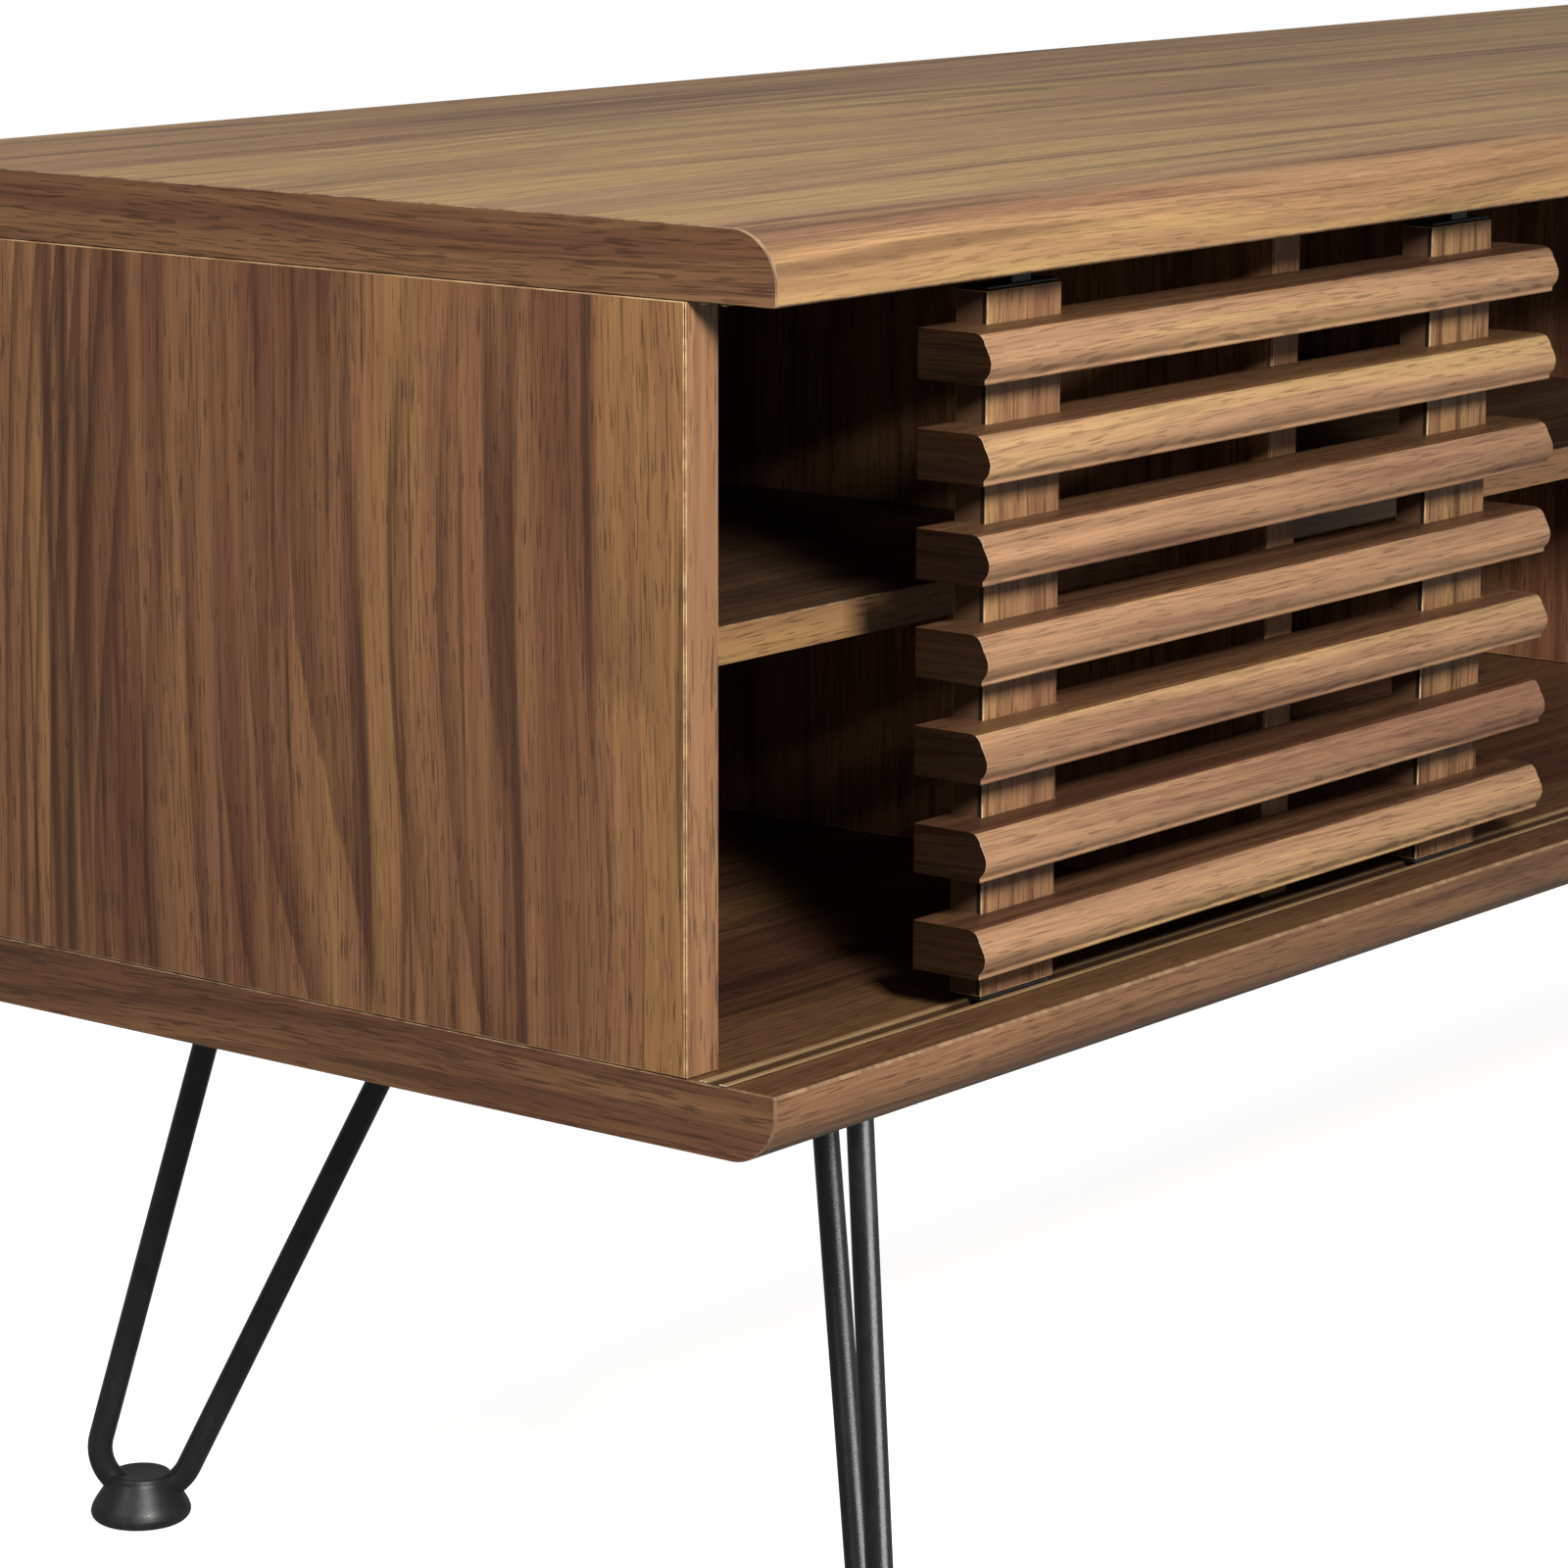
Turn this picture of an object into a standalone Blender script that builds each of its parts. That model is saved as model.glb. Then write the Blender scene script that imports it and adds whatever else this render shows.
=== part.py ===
"""Media cabinet: low walnut board cabinet on hairpin legs, two slatted sliding doors in one track.

Metres, +Z up. The front faces -Y, the width runs along X, and the origin is the bottom centre.
"""

import math

import bmesh
import bpy
from mathutils import Matrix, Vector

# ---------------------------------------------------------------- driving dimensions
WIDTH = 1.548             # overall width of the top and bottom boards
DEPTH = 0.400             # front nose to rear edge
BOARD_T = 0.022           # top and bottom boards
SIDE_T = 0.015            # end panels and dividers
SHELF_T = 0.012           # shelves
BACK_T = 0.004            # back board
INNER_H = 0.231           # clear height between the boards
LEG_H = 0.214             # floor to the underside of the bottom board
GAP = 0.0003              # fitting gap between pieces that touch

SIDE_SETBACK = 0.033      # nose to the front edge of the end panels and dividers
SHELF_SETBACK = 0.077     # nose to the front edge of the shelves
SHELF_TOP = 0.1095        # underside of the top board down to the shelf surface
BAY_INNER = 0.2936        # clear width of each outer bay
NOSE_R = 0.0165           # round-over of the front edge
BACK_INSET = 0.008        # rear edge to the back board
BACK_GROOVE = 0.004       # how deep the back board sits in its grooves

TRACK_Y = 0.0235          # nose to the middle of the door track
TRACK_W = 0.0084          # outer width of the plastic channel
TRACK_D = 0.0060          # depth of the plastic channel
TRACK_WALL = 0.0015       # wall of the channel
TRACK_PROUD = 0.0004      # lips stand this much out of the board
TRACK_FLARE = 0.0009      # lips spread over the board

STILE_Y = 0.0200          # nose to the front face of the stiles
STILE_T = 0.0120          # thickness of the stiles
STILE_W = 0.0388          # width of the stiles
STILE_TOP = 0.0073        # underside of the top board to the top of the stiles
STILE_H = 0.2214          # length of the stiles
GUIDE_PIN = 0.0050        # half the length of the pin on the upper guide
SLAT_N = 7                # slats in each door
SLAT_L = 0.3357           # length of the slats
SLAT_H = 0.0158           # height of a slat
SLAT_D = 0.0254           # depth of a slat at its upper and lower edges
SLAT_BOW = 0.0026         # how far the front face bows out
SLAT_PITCH = 0.03073      # spacing of the slats
SLAT_FIRST = 0.0174       # underside of the top board to the first slat
SLAT_OVER = 0.0197        # slat ends beyond the stiles
DOOR_AT = 0.1093          # cabinet end to the end of the slats, door at rest

ROD_R = 0.00445           # hairpin rod radius
BEND_R = 0.0165           # bend at the foot, to the middle of the rod
PLATE_X = 0.147           # cabinet end to the middle of a leg plate
PLATE_Y = 0.091           # front or rear edge to the middle of a leg plate
ROD_HALF = 0.038          # half the spread of the rods at the plate
LEAN = 0.0750             # how far the foot leans towards the corner
BEND_IN = 0.0025          # middle of the bend, inward of the middle of the foot
LEG_TURN = 48.0           # leg plane, degrees from the front edge of the board
PLATE_L = 0.124           # leg plate length, across the corner
PLATE_W = 0.030           # leg plate width
PLATE_T = 0.003           # leg plate thickness
FOOT_H = 0.0170           # foot cap height
FOOT_R = 0.0178           # foot cap radius, widest
FOOT_TOP_R = 0.0114       # foot cap radius at the top
SCREW_R = 0.0020          # screw shank radius
SCREW_HEAD_R = 0.0045     # screw head radius
SCREW_AT = (-0.053, 0.0, 0.053)

Z_BOTTOM = LEG_H
Z_DECK = LEG_H + BOARD_T
Z_CEIL = Z_DECK + INNER_H
Z_TOP = Z_CEIL + BOARD_T
X_END = WIDTH / 2
Y_NOSE = -DEPTH / 2
Y_REAR = DEPTH / 2

# ---------------------------------------------------------------- a clean scene
for old in list(bpy.data.objects):
    bpy.data.objects.remove(old, do_unlink=True)

cabinet = bpy.data.collections.new("media_cabinet")
bpy.context.scene.collection.children.link(cabinet)
tools = bpy.data.collections.new("cutters")
bpy.context.scene.collection.children.link(tools)


# ---------------------------------------------------------------- small helpers
def material(name, colour, roughness, metallic=0.0):
    """One Principled material."""
    found = bpy.data.materials.new(name)
    found.use_nodes = True
    shader = found.node_tree.nodes["Principled BSDF"]
    shader.inputs["Base Color"].default_value = (*colour, 1.0)
    shader.inputs["Roughness"].default_value = roughness
    shader.inputs["Metallic"].default_value = metallic
    found.diffuse_color = (*colour, 1.0)
    return found


def add(name, bm, collection=cabinet, paint=None):
    """Put a bmesh in the scene as one named object."""
    bmesh.ops.recalc_face_normals(bm, faces=bm.faces)
    mesh = bpy.data.meshes.new(name)
    bm.to_mesh(mesh)
    bm.free()
    obj = bpy.data.objects.new(name, mesh)
    collection.objects.link(obj)
    if paint is not None:
        mesh.materials.append(paint)
    if collection is tools:
        obj.hide_render = True
        obj.display_type = "WIRE"
    return obj


def block(x0, x1, y0, y1, z0, z1):
    """A box between two corners."""
    bm = bmesh.new()
    bmesh.ops.create_cube(bm, size=1.0)
    size = Vector((x1 - x0, y1 - y0, z1 - z0))
    middle = Vector(((x0 + x1) / 2, (y0 + y1) / 2, (z0 + z1) / 2))
    bmesh.ops.scale(bm, vec=size, verts=bm.verts)
    bmesh.ops.translate(bm, vec=middle, verts=bm.verts)
    return bm


def prism(outline, along, start, end):
    """Extrude a closed outline of (a, b) points along X or along Z."""
    bm = bmesh.new()
    ring = []
    for a, b in outline:
        place = (start, a, b) if along == "X" else (a, b, start)
        ring.append(bm.verts.new(place))
    face = bm.faces.new(ring)
    grown = bmesh.ops.extrude_face_region(bm, geom=[face])
    moved = [v for v in grown["geom"] if isinstance(v, bmesh.types.BMVert)]
    shift = (end - start, 0, 0) if along == "X" else (0, 0, end - start)
    bmesh.ops.translate(bm, vec=shift, verts=moved)
    return bm


def drum(radius_low, radius_high, z0, z1, sides=16):
    """A round bar or cone standing on Z."""
    bm = bmesh.new()
    turn = Matrix.Translation((0, 0, (z0 + z1) / 2))
    bmesh.ops.create_cone(
        bm, cap_ends=True, segments=sides, radius1=radius_low, radius2=radius_high,
        depth=z1 - z0, matrix=turn)
    return bm


def lathe(profile, sides):
    """Turn an (r, z) profile round Z. The profile starts and ends on the axis."""
    bm = bmesh.new()
    verts = [bm.verts.new((r, 0, z)) for r, z in profile]
    edges = [bm.edges.new(pair) for pair in zip(verts, verts[1:])]
    bmesh.ops.spin(
        bm, geom=verts + edges, cent=(0, 0, 0), axis=(0, 0, 1), angle=2 * math.pi,
        steps=sides, use_merge=True, use_duplicate=False)
    bmesh.ops.remove_doubles(bm, verts=bm.verts, dist=0.00001)
    return bm


def boolean(target, others, operation):
    """Apply exact booleans in order."""
    for other in others:
        step = target.modifiers.new("cut", "BOOLEAN")
        step.operation = operation
        step.solver = "EXACT"
        step.object = other
    scene = bpy.context.evaluated_depsgraph_get()
    done = bpy.data.meshes.new_from_object(target.evaluated_get(scene))
    target.modifiers.clear()
    old = target.data
    target.data = done
    done.name = target.name
    bpy.data.meshes.remove(old)
    return target


def cut(target, cutters):
    return boolean(target, cutters, "DIFFERENCE")


def fuse(target, others):
    return boolean(target, others, "UNION")


def cutter(name, bm):
    return add(name, bm, collection=tools)


def arc(cx, cy, radius, start, end, steps):
    """Points on an arc, angles in degrees."""
    points = []
    for i in range(steps + 1):
        angle = math.radians(start + (end - start) * i / steps)
        points.append((cx + radius * math.cos(angle), cy + radius * math.sin(angle)))
    return points


# ---------------------------------------------------------------- materials
walnut_face = material("walnut_face", (0.28, 0.15, 0.075), 0.45)
walnut_door = material("walnut_door", (0.31, 0.17, 0.085), 0.45)
walnut_dark = material("walnut_inner", (0.22, 0.12, 0.06), 0.5)
back_board = material("back_board", (0.15, 0.08, 0.045), 0.6)
track_tan = material("track_plastic", (0.30, 0.20, 0.11), 0.4)
black_plastic = material("black_plastic", (0.012, 0.012, 0.013), 0.5)
black_steel = material("black_steel", (0.014, 0.014, 0.015), 0.38, 0.3)
foot_rubber = material("foot_plastic", (0.012, 0.012, 0.012), 0.55)
zinc = material("screw_steel", (0.06, 0.06, 0.065), 0.35, 0.9)


# ---------------------------------------------------------------- top and bottom boards
def nose_outline(rounded_up):
    """Section of a board in (y, z), with z measured from its square face."""
    lead = BOARD_T - NOSE_R
    points = [(Y_REAR, 0.0), (Y_NOSE + 0.0006, 0.0), (Y_NOSE, 0.0006), (Y_NOSE, lead)]
    points += arc(Y_NOSE + NOSE_R, lead, NOSE_R, 180, 90, 12)[1:]
    points += [(Y_REAR, BOARD_T)]
    if rounded_up:
        return [(y, Z_CEIL + z) for y, z in points]
    return [(y, Z_DECK - z) for y, z in points]


def track_slot(z_face, inward):
    """Slot in a board for the plastic channel, and a wider shallow seat for its lips."""
    middle = Y_NOSE + TRACK_Y
    half = TRACK_W / 2 + GAP
    deep = z_face + inward * (TRACK_D + GAP)
    out = z_face - inward * 0.002
    return block(-X_END - 0.01, X_END + 0.01, middle - half, middle + half,
                 min(deep, out), max(deep, out))


def back_slot(z_face, inward):
    """Groove for the back board in the top or bottom board."""
    y1 = Y_REAR - BACK_INSET + GAP
    y0 = y1 - BACK_T - 2 * GAP
    deep = z_face + inward * (BACK_GROOVE + GAP)
    out = z_face - inward * 0.002
    reach = X_END - SIDE_T + BACK_GROOVE + GAP
    return block(-reach, reach, y0, y1, min(deep, out), max(deep, out))


top_panel = add("top_panel", prism(nose_outline(True), "X", -X_END, X_END), paint=walnut_face)
cut(top_panel, [
    cutter("cut_track_top", track_slot(Z_CEIL, 1)),
    cutter("cut_back_top", back_slot(Z_CEIL, 1)),
])

bottom_panel = add(
    "bottom_panel", prism(nose_outline(False), "X", -X_END, X_END), paint=walnut_face)
bottom_cuts = [
    cutter("cut_track_bottom", track_slot(Z_DECK, -1)),
    cutter("cut_back_bottom", back_slot(Z_DECK, -1)),
]


# ---------------------------------------------------------------- plastic tracks
def track_outline(inward):
    """Channel section in (y, z): a U with small lips, opening away from the board."""
    middle = Y_NOSE + TRACK_Y
    face = Z_CEIL if inward > 0 else Z_DECK
    half = TRACK_W / 2
    inner = half - TRACK_WALL
    deep = face + inward * TRACK_D
    floor = deep - inward * TRACK_WALL
    lip = face - inward * (TRACK_PROUD + 0.0003)
    seat = face - inward * 0.0003
    flare = half + TRACK_FLARE
    return [
        (middle - half, deep), (middle + half, deep), (middle + half, seat),
        (middle + flare, seat), (middle + flare, lip), (middle + inner, lip),
        (middle + inner, floor), (middle - inner, floor), (middle - inner, lip),
        (middle - flare, lip), (middle - flare, seat), (middle - half, seat),
    ]


track_bottom = add(
    "track_bottom", prism(track_outline(-1), "X", -X_END, X_END), paint=track_tan)
track_top = add(
    "track_top", prism(track_outline(1), "X", -X_END, X_END), paint=track_tan)


# ---------------------------------------------------------------- uprights, shelves, back
Y_SIDE = Y_NOSE + SIDE_SETBACK
Y_BACK_FACE = Y_REAR - BACK_INSET - BACK_T - GAP
X_BAY = X_END - SIDE_T - BAY_INNER


def side_panel(name, sign):
    """End panel with a groove for the back board."""
    x0 = sign * (X_END - SIDE_T)
    x1 = sign * X_END
    bm = block(min(x0, x1), max(x0, x1), Y_SIDE, Y_REAR, Z_DECK + GAP, Z_CEIL - GAP)
    panel = add(name, bm, paint=walnut_face)
    inner = sign * (X_END - SIDE_T - 0.002)
    deep = sign * (X_END - SIDE_T + BACK_GROOVE + GAP)
    y1 = Y_REAR - BACK_INSET + GAP
    y0 = y1 - BACK_T - 2 * GAP
    groove = block(min(inner, deep), max(inner, deep), y0, y1, Z_DECK - 0.01, Z_CEIL + 0.01)
    return cut(panel, [cutter("cut_" + name, groove)])


def divider(name, middle):
    """Upright between two bays, front edge in line with the end panels."""
    half = SIDE_T / 2
    bm = block(middle - half, middle + half, Y_SIDE, Y_BACK_FACE, Z_DECK + GAP, Z_CEIL - GAP)
    return add(name, bm, paint=walnut_dark)


def shelf(name, x0, x1):
    """Shelf between two uprights."""
    z1 = Z_CEIL - SHELF_TOP
    y0 = Y_NOSE + SHELF_SETBACK
    bm = block(x0 + GAP, x1 - GAP, y0, Y_BACK_FACE, z1 - SHELF_T, z1)
    return add(name, bm, paint=walnut_dark)


side_panel("side_left", -1)
side_panel("side_right", 1)
divider("divider_left", SIDE_T / 2 - X_BAY)
divider("divider_center", 0.0)
divider("divider_right", X_BAY - SIDE_T / 2)
shelf("shelf_left", SIDE_T - X_END, -X_BAY)
shelf("shelf_center_left", SIDE_T - X_BAY, -SIDE_T / 2)
shelf("shelf_center_right", SIDE_T / 2, X_BAY - SIDE_T)
shelf("shelf_right", X_BAY, X_END - SIDE_T)

BACK_HALF = X_END - SIDE_T + BACK_GROOVE
add("back_panel", block(
    -BACK_HALF, BACK_HALF, Y_REAR - BACK_INSET - BACK_T, Y_REAR - BACK_INSET,
    Z_DECK - BACK_GROOVE, Z_CEIL + BACK_GROOVE), paint=back_board)


# ---------------------------------------------------------------- sliding doors
def slat_outline(z1):
    """Slat section in (y, z): flat back, top and underside, and a bowed front face."""
    back = Y_NOSE + STILE_Y + STILE_T
    front = back - SLAT_D
    z0 = z1 - SLAT_H
    half = SLAT_H / 2
    radius = (half * half + SLAT_BOW * SLAT_BOW) / (2 * SLAT_BOW)
    spread = math.degrees(math.asin(half / radius))
    bow = arc(front - SLAT_BOW + radius, (z0 + z1) / 2, radius, 180 - spread, 180 + spread, 8)
    return [(back, z1), *bow, (back, z0)]


def door(side, sign):
    """Two stiles, seven slats lapped over them, and the plastic guides."""
    outer = X_END - DOOR_AT
    stile_edges = (outer - SLAT_OVER, outer - SLAT_L + SLAT_OVER + STILE_W)
    y0 = Y_NOSE + STILE_Y
    y1 = y0 + STILE_T
    z1 = Z_CEIL - STILE_TOP
    z0 = z1 - STILE_H
    middle = Y_NOSE + TRACK_Y
    blade = TRACK_W / 2 - TRACK_WALL - 0.0005
    notches = []
    for letter, edge in zip("ab", stile_edges):
        xa = sign * edge
        xb = sign * (edge - STILE_W)
        low, high = min(xa, xb), max(xa, xb)
        stem = "door_" + side
        add(f"{stem}_stile_{letter}", block(low, high, y0, y1, z0, z1), paint=walnut_door)
        notches.append((low - GAP, high + GAP))
        # upper guide: thin cap on the stile with a pin up into the track
        cap = add(
            f"{stem}_guide_top_{letter}",
            block(low + 0.001, high - 0.001, y0 + 0.0006, y1 - 0.0006, z1 + GAP, z1 + 0.0012),
            paint=black_plastic)
        tongue = cutter(
            f"fuse_{side}_top_{letter}",
            block((low + high) / 2 - GUIDE_PIN, (low + high) / 2 + GUIDE_PIN,
                  middle - blade, middle + blade,
                  z1 + 0.0008, Z_CEIL + TRACK_D - TRACK_WALL - 0.0015))
        fuse(cap, [tongue])
        # lower glide: shoe under the stile with a blade down into the track
        shoe = add(
            f"{stem}_glide_{letter}",
            block(low + 0.001, high - 0.001, y0 + 0.0006, y1 - 0.0006,
                  z0 - 0.0014, z0 - GAP),
            paint=black_plastic)
        runner = cutter(
            f"fuse_{side}_glide_{letter}",
            block(low + 0.005, high - 0.005, middle - blade, middle + blade,
                  Z_DECK - TRACK_D + TRACK_WALL + 0.0003, z0 - 0.001))
        fuse(shoe, [runner])
    low = min(sign * outer, sign * (outer - SLAT_L))
    high = max(sign * outer, sign * (outer - SLAT_L))
    for number in range(SLAT_N):
        top = Z_CEIL - SLAT_FIRST - number * SLAT_PITCH
        slat = add(
            f"door_{side}_slat_{number + 1}", prism(slat_outline(top), "X", low, high),
            paint=walnut_door)
        laps = []
        for index, (na, nb) in enumerate(notches):
            laps.append(cutter(
                f"cut_{side}_{number + 1}_{index}",
                block(na, nb, y0 - GAP, y1 + 0.01, top - SLAT_H - 0.01, top + 0.01)))
        cut(slat, laps)


door("left", -1)
door("right", 1)


# ---------------------------------------------------------------- hairpin legs
def tangent(u, z, cu, cz, radius, side):
    """Touch point on the bend circle for a straight rod from (u, z)."""
    du, dz = cu - u, cz - z
    far = math.hypot(du, dz)
    base = math.atan2(dz, du)
    turn = math.asin(radius / far)
    run = math.sqrt(far * far - radius * radius)
    angle = base - side * turn
    return u + run * math.cos(angle), z + run * math.sin(angle)


def rod_path():
    """Centre line of one bent rod in (u, z), u across the corner, z from the floor."""
    top = LEG_H - 0.0012
    cu, cz = BEND_IN - LEAN, FOOT_H - ROD_R - 0.0030 + BEND_R
    left = tangent(-ROD_HALF, top, cu, cz, BEND_R, 1)
    right = tangent(ROD_HALF, top, cu, cz, BEND_R, -1)
    a0 = math.degrees(math.atan2(left[1] - cz, left[0] - cu)) % 360
    a1 = math.degrees(math.atan2(right[1] - cz, right[0] - cu)) % 360
    if a1 < a0:
        a1 += 360
    bend = arc(cu, cz, BEND_R, a0, a1, 16)
    return [(-ROD_HALF, top), *bend, (ROD_HALF, top)]


def rod_mesh(radius, corners=14):
    """Sweep a round section along the bent rod, in the (u, z) plane with v across it."""
    path = rod_path()
    bm = bmesh.new()
    rings = []
    for i, (u, z) in enumerate(path):
        before = path[max(i - 1, 0)]
        after = path[min(i + 1, len(path) - 1)]
        d = Vector((after[0] - before[0], 0, after[1] - before[1])).normalized()
        if i in (0, len(path) - 1):
            d = Vector((0, 0, -1 if i == 0 else 1))
        across = Vector((0, 1, 0))
        side = d.cross(across).normalized()
        ring = []
        for k in range(corners):
            angle = 2 * math.pi * k / corners
            offset = across * math.cos(angle) + side * math.sin(angle)
            ring.append(bm.verts.new(Vector((u, 0, z)) + offset * radius))
        rings.append(ring)
    for ring_a, ring_b in zip(rings, rings[1:]):
        for k in range(corners):
            n = (k + 1) % corners
            bm.faces.new((ring_a[k], ring_a[n], ring_b[n], ring_b[k]))
    bm.faces.new(rings[0])
    bm.faces.new(rings[-1][::-1])
    return bm


def plate_mesh():
    """Mounting plate with rounded ends, along u."""
    half_l = PLATE_L / 2
    half_w = PLATE_W / 2
    r = 0.008
    points = []
    for cx, cy, start in (
            (half_l - r, half_w - r, 0), (-half_l + r, half_w - r, 90),
            (-half_l + r, -half_w + r, 180), (half_l - r, -half_w + r, 270)):
        points += arc(cx, cy, r, start, start + 90, 4)
    return prism(points, "Z", LEG_H - GAP - PLATE_T, LEG_H - GAP)


def corner_matrix(sx, sy):
    """Place the leg plane across a corner: +u points inward."""
    centre = Vector((sx * (X_END - PLATE_X), sy * (Y_REAR - PLATE_Y), 0))
    turn = math.radians(LEG_TURN)
    inward = math.atan2(-sy * math.sin(turn), -sx * math.cos(turn))
    return Matrix.Translation(centre) @ Matrix.Rotation(inward, 4, "Z")


def screw_mesh():
    """Pan-head screw, head below the plate, shank up into the board."""
    z_plate = LEG_H - GAP - PLATE_T - GAP
    head = 0.0024
    profile = [
        (0.0, z_plate - head), (0.0022, z_plate - head * 0.94), (0.0036, z_plate - head * 0.7),
        (SCREW_HEAD_R, z_plate - head * 0.25), (SCREW_HEAD_R, z_plate),
        (SCREW_R, z_plate), (SCREW_R, LEG_H + 0.0125), (0.0, LEG_H + 0.0145),
    ]
    return lathe(profile, 14)


def cross_slot(width, z_low, deep):
    """Two crossed bars that cut the screwdriver recess."""
    first = cutter("recess_x", block(-0.0022, 0.0022, -width, width, z_low - 0.001, z_low + deep))
    second = cutter("recess_y", block(-width, width, -0.0022, 0.0022, z_low - 0.001, z_low + deep))
    return [first, second]


for corner, sx, sy in (
        ("front_left", -1, -1), ("front_right", 1, -1), ("rear_left", -1, 1), ("rear_right", 1, 1)):
    place = corner_matrix(sx, sy)

    rod = rod_mesh(ROD_R)
    bmesh.ops.transform(rod, matrix=place, verts=rod.verts)
    leg = add("leg_" + corner, rod, paint=black_steel)
    plate = plate_mesh()
    bmesh.ops.transform(plate, matrix=place, verts=plate.verts)
    fuse(leg, [cutter("plate_" + corner, plate)])
    holes = []
    for index, u in enumerate(SCREW_AT):
        hole = drum(SCREW_R + GAP, SCREW_R + GAP, LEG_H - 0.01, LEG_H + 0.0152, 14)
        bmesh.ops.transform(
            hole, matrix=place @ Matrix.Translation((u, 0, 0)), verts=hole.verts)
        holes.append(cutter(f"hole_{corner}_{index}", hole))
    cut(leg, holes)
    bottom_cuts += holes

    foot_profile = [
        (0.0, 0.0), (FOOT_R - 0.0040, 0.0), (FOOT_R - 0.0015, 0.0016), (FOOT_R, 0.0048),
        (FOOT_R - 0.0010, 0.0068), (FOOT_TOP_R + 0.0008, FOOT_H - 0.0022),
        (FOOT_TOP_R - 0.0006, FOOT_H - 0.0006), (FOOT_TOP_R - 0.0022, FOOT_H), (0.0, FOOT_H),
    ]
    cap = lathe(foot_profile, 24)
    bmesh.ops.transform(
        cap, matrix=place @ Matrix.Translation((-LEAN, 0, 0)), verts=cap.verts)
    foot = add("foot_" + corner, cap, paint=foot_rubber)
    saddle = rod_mesh(ROD_R + GAP)
    bmesh.ops.transform(saddle, matrix=place, verts=saddle.verts)
    cut(foot, [cutter("saddle_" + corner, saddle)])

    for index, u in enumerate(SCREW_AT):
        screw = add(f"screw_{corner}_{index + 1}", screw_mesh(), paint=zinc)
        cut(screw, cross_slot(0.0005, LEG_H - 2 * GAP - PLATE_T - 0.0024, 0.0013))
        screw.data.transform(place @ Matrix.Translation((u, 0, 0)))

cut(bottom_panel, bottom_cuts)
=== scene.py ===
import math

import bmesh
import bpy
from mathutils import Matrix, Vector

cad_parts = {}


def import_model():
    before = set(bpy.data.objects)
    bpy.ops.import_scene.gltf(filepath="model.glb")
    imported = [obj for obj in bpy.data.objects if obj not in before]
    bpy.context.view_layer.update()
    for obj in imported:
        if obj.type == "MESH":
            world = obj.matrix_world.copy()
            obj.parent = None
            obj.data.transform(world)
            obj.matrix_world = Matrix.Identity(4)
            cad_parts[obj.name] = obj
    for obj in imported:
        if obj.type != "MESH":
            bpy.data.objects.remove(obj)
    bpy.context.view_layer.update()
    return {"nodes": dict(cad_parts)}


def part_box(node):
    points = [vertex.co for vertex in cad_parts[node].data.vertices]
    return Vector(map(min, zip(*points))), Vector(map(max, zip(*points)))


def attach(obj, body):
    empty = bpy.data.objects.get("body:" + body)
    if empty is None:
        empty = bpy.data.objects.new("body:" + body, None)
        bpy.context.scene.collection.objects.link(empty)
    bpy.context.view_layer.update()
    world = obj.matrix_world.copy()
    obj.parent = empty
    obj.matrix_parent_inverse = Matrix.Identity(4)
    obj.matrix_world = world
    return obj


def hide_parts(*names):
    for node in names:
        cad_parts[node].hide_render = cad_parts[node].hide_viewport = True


# Looks of the media cabinet: walnut-print boards with banded edges, two slatted sliding
# doors, black hairpin legs. Metres, in the frame of the CAD part: +Z up, front faces -Y.

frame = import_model()
NODES = frame["nodes"]

# ---------------------------------------------------------------- sizes shared with the CAD part
NOSE_R = 0.0165           # round-over of the boards' front edge
ARRIS = 0.0006            # broken corner below the round-over
TRACK_Y = 0.0235          # nose to the middle of the door track
TRACK_HALF = 0.0045       # half the slot that the track sits in
TRACK_DEEP = 0.0063       # depth of that slot
TRACK_WALL = 0.0015       # wall of the channel
TRACK_LIP = 0.0004        # thickness of its lips on the board
GROOVE_DEEP = 0.0043      # depth of the back board's groove
GAP = 0.0003              # fitting gap between pieces
ROD_R = 0.00445           # hairpin rod radius
BEND_R = 0.0165           # bend at the foot, to the middle of the rod
ROD_HALF = 0.038          # half the spread of the rods at the plate
LEAN = 0.0750             # how far the foot leans towards the corner
BEND_IN = 0.0025          # middle of the bend, inward of the middle of the foot
LEG_TURN = 48.0           # leg plane, degrees from the front edge of the board
PLATE_L = 0.124
PLATE_W = 0.030
PLATE_T = 0.003
FOOT_R = 0.0178
FOOT_TOP_R = 0.0114
SCREW_AT = (-0.053, 0.0, 0.053)
SCREW_HOLE_R = 0.0023

# ---------------------------------------------------------------- sizes of the finish
BAND_T = 0.0008           # edge band glued on the boards' cut edges
BAND_GAP = 0.00005        # glue line between a panel and its front band
EASE = 0.0004             # broken arris of panels, stiles, plates and the back board
BOARD_EASE = 0.0005       # the same on the top and bottom boards
BAND_EASE = 0.0003        # on the edge bands
SLAT_EASE = 0.00035
PLASTIC_EASE = 0.0003
TIP_EASE = 0.00012
SCREW_EASE = 0.0001
CROWN = 0.0002            # drop of the track lips' rounded edges
LIP_OUT = 0.0004          # width of that rounding on the outer side
LIP_IN = 0.0005           # and on the side of the channel
TRACK_SHORT = 0.0001      # end of the track to the end band or the end of the board
ARC_STEPS = 24            # steps of a board's round-over

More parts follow.
